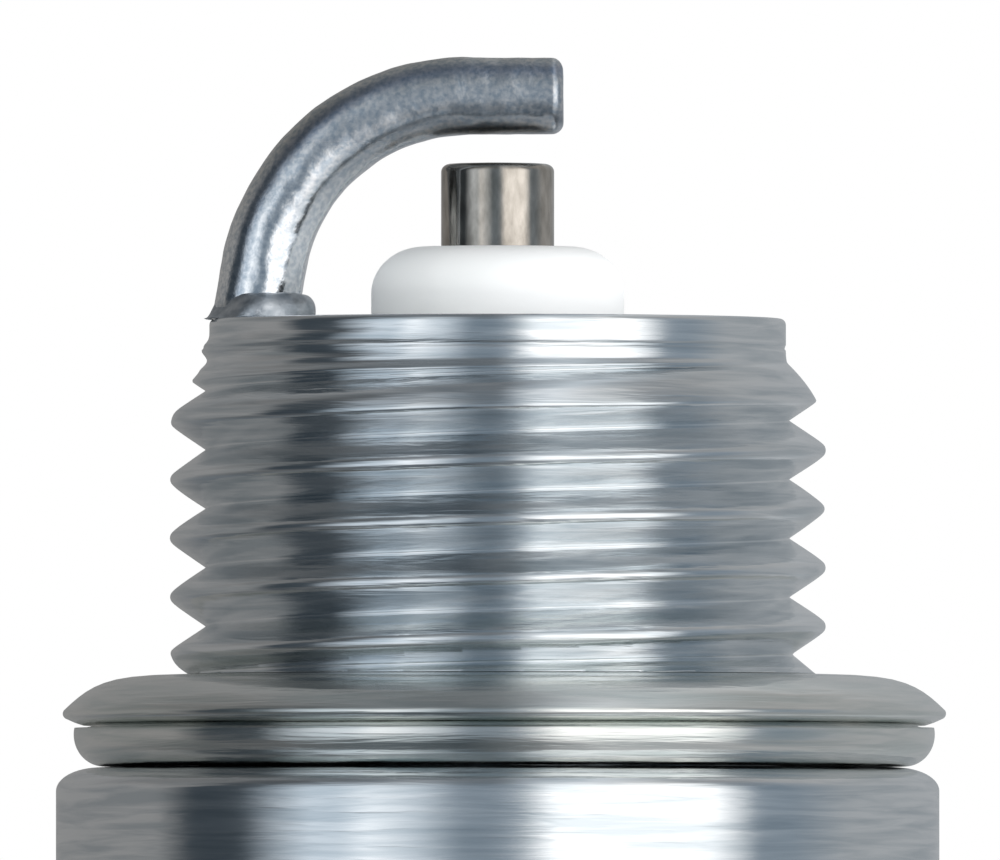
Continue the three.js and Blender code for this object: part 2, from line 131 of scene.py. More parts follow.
def arc(centre_r, centre_z, radius, start, end, steps, rise=None):
    """Points of an arc in the (radius, height) plane; a rise of its own makes it elliptical."""
    rise = radius if rise is None else rise
    angles = np.radians(np.linspace(start, end, steps + 1))
    return [(centre_r + radius * math.cos(a), centre_z + rise * math.sin(a)) for a in angles]


def rounded(corners, closed=False, steps=5):
    """An outline whose corners (r, z, radius) become arcs, with a point just past each arc."""
    support = 0.03
    outline = []
    for i, (r, z, *radius) in enumerate(corners):
        inside = closed or 0 < i < len(corners) - 1
        if not radius or not inside:
            outline.append((r, z))
            continue
        corner = Vector((r, z))
        before = (Vector(corners[i - 1][:2]) - corner).normalized()
        after = (Vector(corners[(i + 1) % len(corners)][:2]) - corner).normalized()
        half = before.angle(after) / 2
        reach = radius[0] / math.tan(half)
        centre = corner + (before + after).normalized() * radius[0] / math.sin(half)
        start = corner + before * reach
        end = corner + after * reach
        outline.append(tuple(start + before * support))
        for k in range(steps + 1):
            spoke = (start - centre).slerp(end - centre, k / steps) * radius[0]
            outline.append(tuple(centre + spoke))
        outline.append(tuple(end + after * support))
    return outline


def revolve(outline, segments, closed=False, shape=None):
    """Vertices and faces of an outline turned about Z. shape(angle, r, z) returns changed radii."""
    r = np.array([p[0] for p in outline])[:, None]
    z = np.array([p[1] for p in outline])[:, None]
    angle = np.arange(segments)[None, :] * 2 * math.pi / segments
    radius = np.broadcast_to(r, (len(outline), segments))
    if shape:
        radius = shape(angle, radius, np.broadcast_to(z, radius.shape))
    points = np.stack([
        radius * np.cos(angle),
        radius * np.sin(angle),
        np.broadcast_to(z, radius.shape),
    ], axis=2).reshape(-1, 3)
    rows = len(outline) if closed else len(outline) - 1
    faces = []
    for j in range(rows):
        low = j * segments
        high = (j + 1) % len(outline) * segments
        for i in range(segments):
            k = (i + 1) % segments
            faces.append((low + i, low + k, high + k, high + i))
    return points, faces


def smooth_min(a, b, blend):
    mix = np.clip(0.5 + (b - a) / (2 * blend), 0, 1)
    return b + (a - b) * mix - blend * mix * (1 - mix)


def smooth_max(a, b, blend):
    return -smooth_min(-a, -b, blend)


def smooth_step(value, start, end):
    t = np.clip((value - start) / (end - start), 0, 1)
    return t * t * (3 - 2 * t)


def helical_wall(pitch, phase_z, low, high, radius_at, segments, rows_per_pitch):
    """A wall between two heights whose rows of vertices follow the thread, row by row."""
    step = pitch / rows_per_pitch
    first = math.floor((low - pitch - phase_z) / step)
    last = math.ceil((high + pitch - phase_z) / step)
    rows = np.arange(first, last + 1)
    angle = np.arange(segments)[None, :] * 2 * math.pi / segments
    z = phase_z + rows[:, None] * step + pitch * angle / (2 * math.pi)
    z = np.clip(z, low, high)
    radius = radius_at(angle, z)
    points = np.stack([radius * np.cos(angle), radius * np.sin(angle), z], axis=2).reshape(-1, 3)
    faces = []
    for j in range(len(rows) - 1):
        for i in range(segments):
            wraps = i == segments - 1
            lift = rows_per_pitch if wraps else 0
            k = 0 if wraps else i + 1
            near = min(j + lift, len(rows) - 1)
            far = min(j + 1 + lift, len(rows) - 1)
            faces.append((j * segments + i, near * segments + k,
                          far * segments + k, (j + 1) * segments + i))
    return points, faces


def add_piece(name, parts, material, body, replaced):
    """One smooth closed piece, in millimetres, that rides on a body and stands for CAD nodes."""
    points = np.concatenate([p for p, _ in parts])
    faces = []
    offset = 0
    for p, f in parts:
        faces += [tuple(offset + i for i in face) for face in f]
        offset += len(p)
    mesh = bpy.data.meshes.new(name)
    mesh.from_pydata((points * MM).tolist(), [], faces)
    work = bmesh.new()
    work.from_mesh(mesh)
    bmesh.ops.remove_doubles(work, verts=work.verts, dist=MERGE_MM * MM)
    bmesh.ops.dissolve_degenerate(work, edges=work.edges, dist=MERGE_MM * MM)
    bmesh.ops.recalc_face_normals(work, faces=work.faces)
    work.to_mesh(mesh)
    work.free()
    mesh.shade_smooth()
    mesh.materials.append(material)
    piece = bpy.data.objects.new(name, mesh)
    bpy.context.scene.collection.objects.link(piece)
    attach(piece, body)
    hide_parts(*replaced)
    return piece


# ---------- materials ----------


class NodeGraph:
    """A node tree with short helpers for values and colours."""

    def __init__(self, tree):
        self.nodes = tree.nodes
        self.links = tree.links

    def feed(self, socket, value):
        """Gives a socket a number or a colour, or links another node's output to it."""
        if isinstance(value, tuple):
            socket.default_value = (*value, 1)
        elif isinstance(value, (int, float)):
            socket.default_value = value
        else:
            self.links.new(value, socket)

    def split(self, vector):
        """The three coordinates of a vector."""
        node = self.nodes.new("ShaderNodeSeparateXYZ")
        self.links.new(vector, node.inputs["Vector"])
        return node.outputs

    def compute(self, operation, a, b=0.0):
        node = self.nodes.new("ShaderNodeMath")
        node.operation = operation
        self.feed(node.inputs[0], a)
        self.feed(node.inputs[1], b)
        return node.outputs["Value"]

    def band(self, source, low, high, from_low=0.3, from_high=0.7, interpolation="LINEAR"):
        """A value that runs from low to high as the source crosses its middle range."""
        node = self.nodes.new("ShaderNodeMapRange")
        node.interpolation_type = interpolation
        node.inputs["From Min"].default_value = from_low
        node.inputs["From Max"].default_value = from_high
        node.inputs["To Min"].default_value = low
        node.inputs["To Max"].default_value = high
        self.links.new(source, node.inputs["Value"])
        return node.outputs["Result"]

    def smooth_band(self, source, start, end, low=0, high=1):
        return self.band(source, low, high, start, end, "SMOOTHSTEP")

    def ramp(self, source, stops):
        """A colour ramp of (place, colour) stops, with places from 0 to 1."""
        node = self.nodes.new("ShaderNodeValToRGB")
        self.links.new(source, node.inputs["Fac"])
        elements = node.color_ramp.elements
        while len(elements) < len(stops):
            elements.new(0.5)
        for element, (place, color) in zip(elements, stops):
            element.position = place
            element.color = (*color, 1)
        return node.outputs["Color"]

    def mix(self, factor, a, b, blend_type="MIX"):
        node = self.nodes.new("ShaderNodeMix")
        node.data_type = "RGBA"
        node.blend_type = blend_type
        self.feed(node.inputs["Factor"], factor)
        self.feed(node.inputs["A"], a)
        self.feed(node.inputs["B"], b)
        return node.outputs["Result"]

    def scaled(self, color, by):
        node = self.nodes.new("ShaderNodeVectorMath")
        node.operation = "SCALE"
        self.links.new(color, node.inputs[0])
        self.links.new(by, node.inputs["Scale"])
        return node.outputs["Vector"]


class Finish(NodeGraph):
    """A Principled material with helpers for its procedural detail."""

    def __init__(self, name, color, metallic, roughness):
        self.material = bpy.data.materials.new(name)
        self.material.use_nodes = True
        super().__init__(self.material.node_tree)
        self.shader = self.nodes["Principled BSDF"]
        self.shader.inputs["Base Color"].default_value = (*color, 1)
        self.shader.inputs["Metallic"].default_value = metallic
        self.shader.inputs["Roughness"].default_value = roughness
        self.place = self.nodes.new("ShaderNodeTexCoord").outputs["Object"]

    def noise(self, sizes_mm, detail=3, distortion=0.0):
        """Noise whose features have these sizes along X, Y and Z."""
        mapping = self.nodes.new("ShaderNodeMapping")
        mapping.inputs["Scale"].default_value = [1 / (s * MM) for s in sizes_mm]
        self.links.new(self.place, mapping.inputs["Vector"])
        texture = self.nodes.new("ShaderNodeTexNoise")
        texture.inputs["Scale"].default_value = 1
        texture.inputs["Detail"].default_value = detail
        texture.inputs["Distortion"].default_value = distortion
        self.links.new(mapping.outputs["Vector"], texture.inputs["Vector"])
        return texture.outputs["Fac"]

    def blend(self, source, dark, light, from_low=0.3, from_high=0.7):
        """A colour between two colours, by a source value."""
        return self.mix(self.band(source, 0, 1, from_low, from_high), dark, light)

    def tint(self, color, source, stops, low, high, amount):
        """A colour multiplied, by some amount, by a ramp of (source value, colour) stops."""
        places = [((value - low) / (high - low), shade) for value, shade in stops]
        shades = self.ramp(self.band(source, 0, 1, low, high), places)
        return self.mix(amount, color, shades, "MULTIPLY")

    def color(self, source):
        self.links.new(source, self.shader.inputs["Base Color"])

    def roughness(self, source):
        self.links.new(source, self.shader.inputs["Roughness"])

    def bump(self, *layers):
        """Surface relief from (noise, height in millimetres, strength if it varies) layers."""
        last = None
        for source, height, *strength in layers:
            node = self.nodes.new("ShaderNodeBump")
            node.inputs["Distance"].default_value = height * MM
            self.links.new(source, node.inputs["Height"])
            if strength:
                self.links.new(strength[0], node.inputs["Strength"])
            if last:
                self.links.new(last, node.inputs["Normal"])
            last = node.outputs["Normal"]
        self.links.new(last, self.shader.inputs["Normal"])

    def height(self):
        """Height along the plug's axis, in metres."""
        return self.split(self.place)["Z"]

    def across_bend(self):
        """How far out a point of the bent bar lies, in millimetres from its middle line."""
        x, _, z = self.split(self.place)
        along_x = self.compute("MINIMUM", self.compute("SUBTRACT", x, GROUND_BEND_X * MM), 0)
        along_z = self.compute("MAXIMUM", self.compute("SUBTRACT", z, GROUND_BEND_Z * MM), 0)
        squares = self.compute("ADD", self.compute("POWER", along_x, 2), self.compute("POWER", along_z, 2))
        from_middle = self.compute("SUBTRACT", self.compute("SQRT", squares), GROUND_BEND_R * MM)
        return self.compute("DIVIDE", from_middle, MM)


def turned_metal(name, dark, light, roughness, relief):
    """Plated metal with fine wavy streaks that run round the axis."""
    fine_mm, broad_mm = 0.07, 0.182
    finish = Finish(name, light, 1, roughness)
    fine = finish.noise((2.2, 2.2, fine_mm), distortion=0.4)
    broad = finish.noise((3.4, 3.4, broad_mm), distortion=0.5)
    cloud = finish.noise((1.6, 1.6, 0.5), detail=2)
    finish.color(finish.blend(broad, dark, light, 0.34, 0.62))
    finish.roughness(finish.band(cloud, roughness * 0.75, roughness * 1.4))
    finish.bump((broad, relief * 3), (fine, relief))
    return finish.material


def drawn_nickel():
    """Satin bar: a frosted grain over soft blotches, polished and brighter towards the foot, with two dark
    lines of painted shade along it.
    """
    finish = Finish("satin_nickel", (0.7, 0.72, 0.74), 1, 0.25)
    grain = finish.noise((0.11, 0.11, 0.11), detail=4)
    blotch = finish.noise((0.4, 0.4, 0.4), detail=4)
    height = finish.height()
    polished_to, dull_from = (REACH + 1.5) * MM, (REACH + 4) * MM
    edge = 0.9
    polished = finish.blend(grain, (0.62, 0.67, 0.72), (0.94, 0.95, 0.96), 0.34, 0.64)
    dull = finish.blend(grain, (0.42, 0.48, 0.54), (0.7, 0.71, 0.72), 0.34, 0.64)
    steel = finish.blend(height, polished, dull, polished_to, dull_from)
    # Painted shade: two dark lines along the bar, a grey one towards its inner side and a cool blue one
    # towards its outer side, with a faint warm tint at the outer edge. They are multiplied into the
    # colour, weaker at the foot.
    finish.color(finish.tint(steel, finish.across_bend(), [
        (-edge, (0.95, 0.95, 0.95)),
        (-0.66, (0.85, 0.87, 0.9)),
        (-0.52, (0.5, 0.52, 0.55)),
        (-0.4, (0.74, 0.76, 0.79)),
        (-0.25, (0.97, 0.97, 0.98)),
        (0.32, (1, 1, 1)),
        (0.5, (0.66, 0.71, 0.82)),
        (0.6, (0.64, 0.67, 0.74)),
        (0.74, (0.95, 0.93, 0.88)),
        (edge, (1, 0.96, 0.9)),
    ], -edge, edge, finish.band(height, 0.3, 1, polished_to, dull_from)))
    finish.roughness(finish.band(height, 0.14, 0.29, polished_to, dull_from))
    finish.bump((blotch, 0.008), (grain, 0.004))
    return finish.material


def upset_nickel():
    """The dull, lumpy skin of the resistance weld."""
    finish = Finish("upset_nickel", (0.5, 0.53, 0.57), 1, 0.36)
    grain = finish.noise((0.09, 0.09, 0.09), detail=4)
    lumps = finish.noise((0.3, 0.3, 0.2))
    finish.color(finish.blend(lumps, (0.33, 0.37, 0.41), (0.6, 0.63, 0.66)))
    finish.roughness(finish.band(grain, 0.3, 0.45))
    finish.bump((lumps, 0.02), (grain, 0.006))
    return finish.material


def centre_metal():
    finish = Finish("centre_nickel", (0.5, 0.46, 0.4), 1, 0.12)
    mottle = finish.noise((0.25, 0.25, 0.6), detail=4)
    lines = finish.noise((2, 2, 0.05), detail=2)
    finish.color(finish.blend(mottle, (0.34, 0.31, 0.27), (0.6, 0.55, 0.49)))
    finish.roughness(finish.band(mottle, 0.09, 0.14))
    finish.bump((mottle, 0.002), (lines, 0.0006))
    return finish.material


def alumina():
    """White ceramic: bare and matt at the nose, with a glaze on the stem behind the metal body, whose
    darker grey is painted shade.
    """
    finish = Finish("alumina", (0.93, 0.94, 0.945), 0, 0.5)
    speck = finish.noise((0.12, 0.12, 0.12))
    cloud = finish.noise((3, 3, 3), detail=2)
    height = finish.height()
    glaze_ends, bare_from = COLLAR_END * MM, 0.0
    bare = finish.blend(cloud, (0.9, 0.915, 0.92), (0.95, 0.955, 0.96))
    # Painted shade: the stem is the same white ceramic as the nose, given a darker grey so that the strong
    # soft light leaves shading on it.
    stem_painted_shade = finish.blend(cloud, (0.6, 0.605, 0.6), (0.64, 0.645, 0.64))
    finish.color(finish.blend(height, stem_painted_shade, bare, glaze_ends, bare_from))
    finish.roughness(finish.band(height, 0.07, 0.55, glaze_ends, bare_from))
    finish.bump((speck, 0.004, finish.band(height, 0, 1, glaze_ends, bare_from)))
    return finish.material


def plain_grain(name, color, other, metallic, roughness, grain_mm, relief):
    """A simple speckled finish for the pieces sealed inside."""
    finish = Finish(name, color, metallic, roughness)
    grain = finish.noise((grain_mm, grain_mm, grain_mm), detail=4)
    finish.color(finish.blend(grain, color, other))
    finish.roughness(finish.band(grain, roughness * 0.85, roughness * 1.15))
    finish.bump((grain, relief))
    return finish.material


plated_steel = turned_metal("plated_steel", (0.61, 0.66, 0.69), (0.86, 0.88, 0.89), 0.13, 0.007)
gasket_steel = turned_metal("gasket_steel", (0.66, 0.7, 0.68), (0.84, 0.84, 0.81), 0.16, 0.008)
terminal_steel = turned_metal("terminal_steel", (0.7, 0.72, 0.75), (0.84, 0.86, 0.88), 0.2, 0.004)
nickel = drawn_nickel()
weld_metal = upset_nickel()
centre_nickel = centre_metal()
white_ceramic = alumina()

# ---------- threaded metal body ----------


def thread_radius(angle, z, pitch, phase_z, crest_r, steep, soft):
    """Radius of a thread with a rounded crest and a sharp root."""
    turn = (z - phase_z - pitch * angle / (2 * math.pi)) / pitch
    offset = np.abs(turn - np.round(turn)) * pitch
    return crest_r + soft - np.hypot(steep * offset, soft)


def body_thread(angle, z):
    """The M14 thread. Its ridge fades out at the top and runs down to a lip over the gasket."""
    flank_slope, crest_softness = 1.55, 0.2
    fades_above, fades_below = 7.0, 2.6
    spigot_from, spigot_to = 8.3, 8.8
    lobe_shift, lobe_width = 0.24, 0.16
    mark_z, mark_depth = 8.9, 0.035
    lip_drop, lip_tilt, lip_slope = 0.33, 0.1, 1.2

    thread = thread_radius(angle, z, PITCH, CREST_PHASE_Z, CREST_R, flank_slope, crest_softness)
    uneven = 0.016 * np.sin(3 * angle + 2.1 * z) + 0.012 * np.sin(7 * angle - 3.7 * z)
    thread = thread + uneven * np.clip((thread - ROOT_R) / 0.5, 0, 1)
    fade_up = 0.33 * np.clip(z - fades_above, 0, None) ** 2
    fade_down = 0.4 * (1 - np.cos(angle)) * np.clip(fades_below - z, 0, None) ** 2
    body = smooth_min(thread, CREST_R - fade_up - fade_down, 0.07)
    plain = SPIGOT_R + 0.06 * (1 - smooth_step(z, spigot_from, spigot_to))
    # an unfinished double crest on the side where the thread starts
    start_z = CREST_PHASE_Z + PITCH * (1 + angle / (2 * math.pi))
    lobes = (np.exp(-((z - start_z - lobe_shift) / lobe_width) ** 2)
             + np.exp(-((z - start_z + lobe_shift) / lobe_width) ** 2))
    plain = plain + 0.17 * (0.5 - 0.5 * np.cos(angle)) ** 4 * lobes
    tool_mark = mark_depth * np.exp(-((z - mark_z) / mark_depth) ** 2)
    lip = CREST_R - lip_drop + lip_tilt * np.cos(angle) - lip_slope * (z - WALL_LOW)
    return smooth_max(smooth_max(body, plain, 0.03), lip, 0.05) - tool_mark


def hexagon(angle, radius, z):
    """Cuts the turned blank down to six flats between the hexagon's two ends."""
    sector, margin = math.pi / 3, 0.01
    from_flat = np.mod(angle - math.pi / 2 + sector / 2, sector) - sector / 2
    flat = HEX_FLATS / 2 / np.cos(from_flat)
    between = (z <= HEX_TOP + margin) & (z >= HEX_BOTTOM - margin)
    outer = radius > NECK_R + 0.8
    return np.where(between & outer, smooth_min(radius, flat, 0.05), radius)


def metal_shell():
    wall = helical_wall(PITCH, CREST_PHASE_Z, WALL_LOW, WALL_HIGH, body_thread, ROUND, 32)
    chamfer_height = 0.45
    chamfer = [(HEX_CHAMFER_R - 0.7 * t * t - 0.15 * t, chamfer_height * t)
               for t in np.linspace(1, 0, 10)]
    top_chamfer = [(r, HEX_TOP - chamfer_height + rise) for r, rise in reversed(chamfer)]
    bottom_chamfer = [(r, HEX_BOTTOM + chamfer_height - rise) for r, rise in chamfer]
    hex_rows = [(HEX_CHAMFER_R, z) for z in np.linspace(HEX_TOP - 0.5, HEX_BOTTOM + 0.5, 6)]
    seat_bore_r, packing_bore_r, stem_hole_r = 5.0, 6.1, STEM_R + 0.15
    bores_and_collar = rounded([
        (SPIGOT_R, WALL_HIGH),
        (SPIGOT_R, REACH, 0.13),
        (NOSE_BORE_R, REACH, 0.12),
        (NOSE_BORE_R, -0.45, 0.1),
        (seat_bore_r, -1.35, 0.1),
        (seat_bore_r, -3.65, 0.1),
        (packing_bore_r, -4.75, 0.1),
        (packing_bore_r, COLLAR_END + 0.95, 0.3),
        (stem_hole_r, COLLAR_END + 0.3, 0.12),
        (stem_hole_r, COLLAR_END, 0.1),
        (COLLAR_R - 0.75, COLLAR_END, 0.4),
        (COLLAR_R, COLLAR_END + 0.75, 0.5),
        (COLLAR_R, HEX_BOTTOM, 0.12),
        (HEX_FACE_R, HEX_BOTTOM),
    ])
    neck = rounded([
        (HEX_FACE_R, HEX_TOP),
        (NECK_R, HEX_TOP, 0.3),
        (NECK_R, FLANGE_BACK, 0.3),
        (FLANGE_R, FLANGE_BACK, 0.3),
        (FLANGE_R, -SHOULDER_RISE - 0.02),
    ])
    shoulder = arc(FLANGE_R - SHOULDER_RUN, -SHOULDER_RISE, SHOULDER_RUN, 0, 90, 16, SHOULDER_RISE)
    foot = rounded([(8.0, 0), (FOOT_R, 0, 0.1), (FOOT_R, WALL_LOW - 0.01)])
    foot.append((CREST_R, WALL_LOW))

    def shaped(angle, radius, z):
        joins_wall = (z == WALL_LOW) | (z == WALL_HIGH)
        return np.where(joins_wall, body_thread(angle, z), hexagon(angle, radius, z))

    outline = (bores_and_collar + bottom_chamfer + hex_rows[::-1] + top_chamfer
               + neck + shoulder + foot)
    rest = revolve(outline, ROUND, shape=shaped)
    return add_piece("shell_body", [wall, rest], plated_steel, "plug_body",
                     ["metal_shell"])


# ---------- folded gasket ----------


def gasket_ring():
    rim = GASKET_R
    top = GASKET_TOP
    fold_r, fold_z = 8.78, 0.87        # the crease between the rolled edge and the brim
    rim_edge_r, slope_z = 0.12, 1.225
    roll = [
        *arc(8.5, 0.7, 0.64, -86, 12, 18, 0.68),
        (fold_r + 0.15, fold_z - 0.03),
        (fold_r, fold_z),
        (fold_r, fold_z + 0.015),
        (fold_r + 0.16, fold_z + 0.02),
    ]
    brim = [
        (9.12, 0.95),
        *arc(rim - rim_edge_r, 1.14, rim_edge_r, -58, 38, 8),
    ]
    slope = [(rim - 0.05 - inwards, slope_z + (top - slope_z) * math.sin(math.radians(turn)) ** 0.9)
             for turn, inwards in ((9, 0.14), (18, 0.28), (28, 0.44), (38, 0.62), (48, 0.83),
                                   (58, 1.08), (68, 1.4), (78, 1.8), (86, 2.2))]
    inner = [
        (6.85, top),
        (6.6, top - 0.02),
        (GASKET_BORE_R, top - 0.12),
        (GASKET_BORE_R, 0.3),
        (6.55, GASKET_LOW.z + 0.08),
        (6.75, GASKET_LOW.z),
        (8.4, GASKET_LOW.z),
    ]

    def uneven(angle, radius, z):
        high = np.clip((z - 0.85) / 0.6, 0, 1)
        wave = 0.02 * np.sin(2 * angle + 0.6) + 0.012 * np.sin(5 * angle) + 0.008 * np.sin(9 * angle + 2)
        return radius + wave * high * np.clip((radius - 7.5) / 1.5, 0, 1)

    ring, faces = revolve(roll + brim + slope + inner, ROUND, closed=True, shape=uneven)
    ring[:, 0] += GASKET_X
    return add_piece("folded_gasket", [(ring, faces)], gasket_steel, "gasket",
                     ["gasket"])


# ---------- ceramic insulator ----------


def ceramic():
    hole_r, tip_hole_r, hole_step = 1.95, 1.23, 1.5
    waist_r = 4.88
    nose_r, nose_edge_r = 2.685, 1.1
    first_rib_z, rib_pitch, rib_depth = -25.6, 2.05, 0.62
    ribs = []
    for i in range(5):
        z = first_rib_z + i * rib_pitch
        ribs += [
            (STEM_R - rib_depth, z, 0.3),
            (STEM_R, z + rib_depth, 0.3),
            (STEM_R, z + 1.2, 0.3),
            (STEM_R - rib_depth, z + 1.6, 0.2),
        ]
    outline = rounded([
        (hole_r, CERAMIC_LOW.z, 0.15),
        (4.3, CERAMIC_LOW.z, 0.55),
        (4.5, -27.2, 0.6),
        *ribs,
        (STEM_R, COLLAR_END + 0.2, 0.1),
        (STEM_R, -10.4, 0.3),
        (CERAMIC_HIGH.x, -9.6, 0.4),
        (CERAMIC_HIGH.x, -4.85, 0.3),
        (waist_r, -3.78, 0.3),
        (waist_r, -1.75, 0.2),
        (3.75, -0.62, 0.15),
        (3.45, 0.1, 0.4),
        (nose_r + 0.05, 8.6, 1.0),
        (nose_r, 9.6),
        *arc(nose_r - nose_edge_r, CERAMIC_HIGH.z - 1.0, nose_edge_r, 0, 90, 16, 1.0),
        (tip_hole_r, CERAMIC_HIGH.z, 0.06),
        (tip_hole_r, hole_step + 0.45),
        (hole_r, hole_step - 0.3),
    ], closed=True)
    part = revolve(outline, SMALL_ROUND, closed=True)
    return add_piece("ceramic_body", [part], white_ceramic, "plug_body", ["insulator"])


# ---------- centre electrode ----------


def centre_pin():
    radius, copper_r, copper_end = 1.2, 0.62, 11.2
    outline = [
        (0, copper_end),
        (copper_r, copper_end),
        (copper_r, CENTRE_LOW.z),
        (radius - 0.1, CENTRE_LOW.z),
        (radius, CENTRE_LOW.z + 0.1),
        (radius, -0.1),
        (CENTRE_HIGH.x, 0.05),
        (CENTRE_HIGH.x, 1.0),
        (radius, 1.6),
        (radius, CENTRE_HIGH.z - 0.4),
        *arc(radius - 0.2, CENTRE_HIGH.z - 0.19, 0.2, 0, 82, 12, 0.17),
        (radius - 0.3, CENTRE_HIGH.z - 0.012),
        (0.5, CENTRE_HIGH.z),
        (0, CENTRE_HIGH.z),
    ]
    part = revolve(outline, SMALL_ROUND)
    return add_piece("centre_pin", [part], centre_nickel, "plug_body",
                     ["center_electrode"])


# ---------- ground electrode and its weld ----------


def ground_station(s):
    """Centre (x, z) and direction of the bar at a distance along it."""
    bend = min(max((s - GROUND_STRAIGHT) / GROUND_BEND_R, 0), GROUND_BEND)
    rise = min(s, GROUND_STRAIGHT)
    run = max(s - GROUND_STRAIGHT - GROUND_BEND_R * GROUND_BEND, 0)
    angle = math.pi / 2 - GROUND_LEAN - bend
    x = (GROUND_BASE_X + rise * math.sin(GROUND_LEAN)
         + GROUND_BEND_R * (math.cos(GROUND_LEAN) - math.sin(angle)) + run)
    z = (REACH + rise * math.cos(GROUND_LEAN)
         + GROUND_BEND_R * (math.cos(angle) - math.sin(GROUND_LEAN)))
    return x, z, angle


def bar_outline(thickness, width):
    """A flat bar with bulging sides, as (across the thickness, along Y) offsets."""
    steps, fullness = 64, 2.05
    side = thickness / 2
    outline = []
    for k in range(steps):
        a = 2 * math.pi * (k + 0.5) / steps
        across = math.copysign(abs(math.cos(a)) ** (2 / fullness), math.cos(a))
        along = math.copysign(abs(math.sin(a)) ** (2 / fullness), math.sin(a))
        middle = math.copysign(max(width / 2 - side, 0), along)
        outline.append((side * across, middle + side * along))
    return outline


def ground_ring(s, inset=0.0, advance=0.0):
    x, z, angle = ground_station(s)
    thickness = GROUND_THICK_BASE + (GROUND_THICK_TIP - GROUND_THICK_BASE) * s / GROUND_LENGTH
    x += advance * math.cos(angle)
    z += advance * math.sin(angle)
    ring = []
    for across, along in bar_outline(thickness - 2 * inset, GROUND_WIDTH - 2 * inset):
        ring.append((x - across * math.sin(angle), along, z + across * math.cos(angle)))
    return ring


def ground_ring_on(plane_z):
    """The bar's section slid along the bar until it lies level."""
    x, z, angle = ground_station(0)
    ring = []
    for across, along in bar_outline(GROUND_THICK_BASE, GROUND_WIDTH):
        slide = (plane_z - z - across * math.cos(angle)) / math.sin(angle)
        ring.append((x - across * math.sin(angle) + slide * math.cos(angle), along, plane_z))
    return ring


def loft(rings, closed=False):
    """A skin over rings of equal length; an open row of rings gets a cap at each end."""
    count = len(rings[0])
    points = np.array([p for ring in rings for p in ring])
    rows = len(rings) if closed else len(rings) - 1
    faces = []
    for j in range(rows):
        low, high = j * count, (j + 1) % len(rings) * count
        for i in range(count):
            k = (i + 1) % count
            faces.append((low + i, low + k, high + k, high + i))
    if not closed:
        faces.append(tuple(range(count)))
        faces.append(tuple(range((len(rings) - 1) * count, len(rings) * count)))
    return points, faces


def roughen(points, size_mm, height_mm, keep_z=None):
    """Moves points by smooth noise. Points at the height keep_z stay level."""
    moved = points.copy()
    for row in moved:
        push = noise.noise_vector(Vector(row) / size_mm)
        level = keep_z is not None and abs(row[2] - keep_z) < 1e-6
        row[0] += push.x * height_mm
        row[1] += push.y * height_mm
        row[2] += 0 if level else push.z * height_mm
    return moved


def ground_bar():
    tip_round = 0.24
    body_end = GROUND_LENGTH - tip_round
    rings = [ground_ring_on(REACH)]
    rings += [ground_ring(s) for s in np.linspace(0.5, body_end, 110)]
    for a in np.radians(np.linspace(10, 90, 9)):
        rings.append(ground_ring(body_end, tip_round * (1 - math.cos(a)), tip_round * math.sin(a)))
    rings.append(ground_ring(body_end, tip_round + 0.1, tip_round))
    rings.append(ground_ring(body_end, tip_round + 0.4, tip_round))
    points, faces = loft(rings)
    points = roughen(points, 0.9, 0.02, REACH)
    points = roughen(points, 0.28, 0.008, REACH)
    return add_piece("ground_bar", [(points, faces)], nickel, "plug_body",
                     ["ground_electrode"])


def ground_weld():
    """Upset metal round the bar's foot: a hollow fillet outside, a full shoulder inside."""
    outside_height, outside_reach = 0.62, 0.2
    inside_height, inside_reach = 0.53, 0.42
    _, _, lean = ground_station(0)
    half = GROUND_THICK_BASE / 2

    def collar_ring(turn):
        ring = []
        for across, along in bar_outline(GROUND_THICK_BASE, GROUND_WIDTH):
            outer = smooth_step(across / half, -0.1, 1.0)
            height = inside_height + (outside_height - inside_height) * outer
            reach = inside_reach + (outside_reach - inside_reach) * outer
            full = (math.sin(turn) ** 0.8, math.cos(turn))
            hollow = (1 - math.cos(turn), 1 - math.sin(turn))
            grow = reach * (full[0] + (hollow[0] - full[0]) * outer)
            rise = height * (full[1] + (hollow[1] - full[1]) * outer)
            past_flat = max(abs(along) - GROUND_WIDTH / 2 + half, 0)
            spoke = Vector((across, math.copysign(past_flat, along)))
            spoke = spoke.normalized() * (grow - 0.05)
            x = GROUND_BASE_X - across / math.sin(lean) + rise * math.tan(GROUND_LEAN) - spoke.x
            ring.append((x, along + spoke.y, REACH + rise))
        return ring

    rings = [collar_ring(turn) for turn in np.radians(np.linspace(0, 90, 15))]
    rings.append(ground_ring_on(REACH))
    points, faces = loft(rings, closed=True)
    points = roughen(points, 0.6, 0.035, REACH)
    points = roughen(points, 0.2, 0.012, REACH)
    return add_piece("weld_collar", [(points, faces)], weld_metal, "plug_body",
                     ["ground_electrode_weld"])


# ---------- terminal ----------


def stud_thread(angle, z):
    flank_slope, crest_softness, end_slope, end_length = 1.7, 0.05, 0.8, 0.25
    thread = thread_radius(angle, z, STUD_PITCH, STUD_LOW.z, STUD_R, flank_slope, crest_softness)
    entry = STUD_CORE_R + end_slope * (z - STUD_LOW.z - end_length)
    run_out = STUD_CORE_R + end_slope * (NUT_HIGH.z - end_length - z)
    thread = smooth_min(smooth_min(thread, entry, 0.04), run_out, 0.04)
    return np.maximum(thread, STUD_CORE_R)


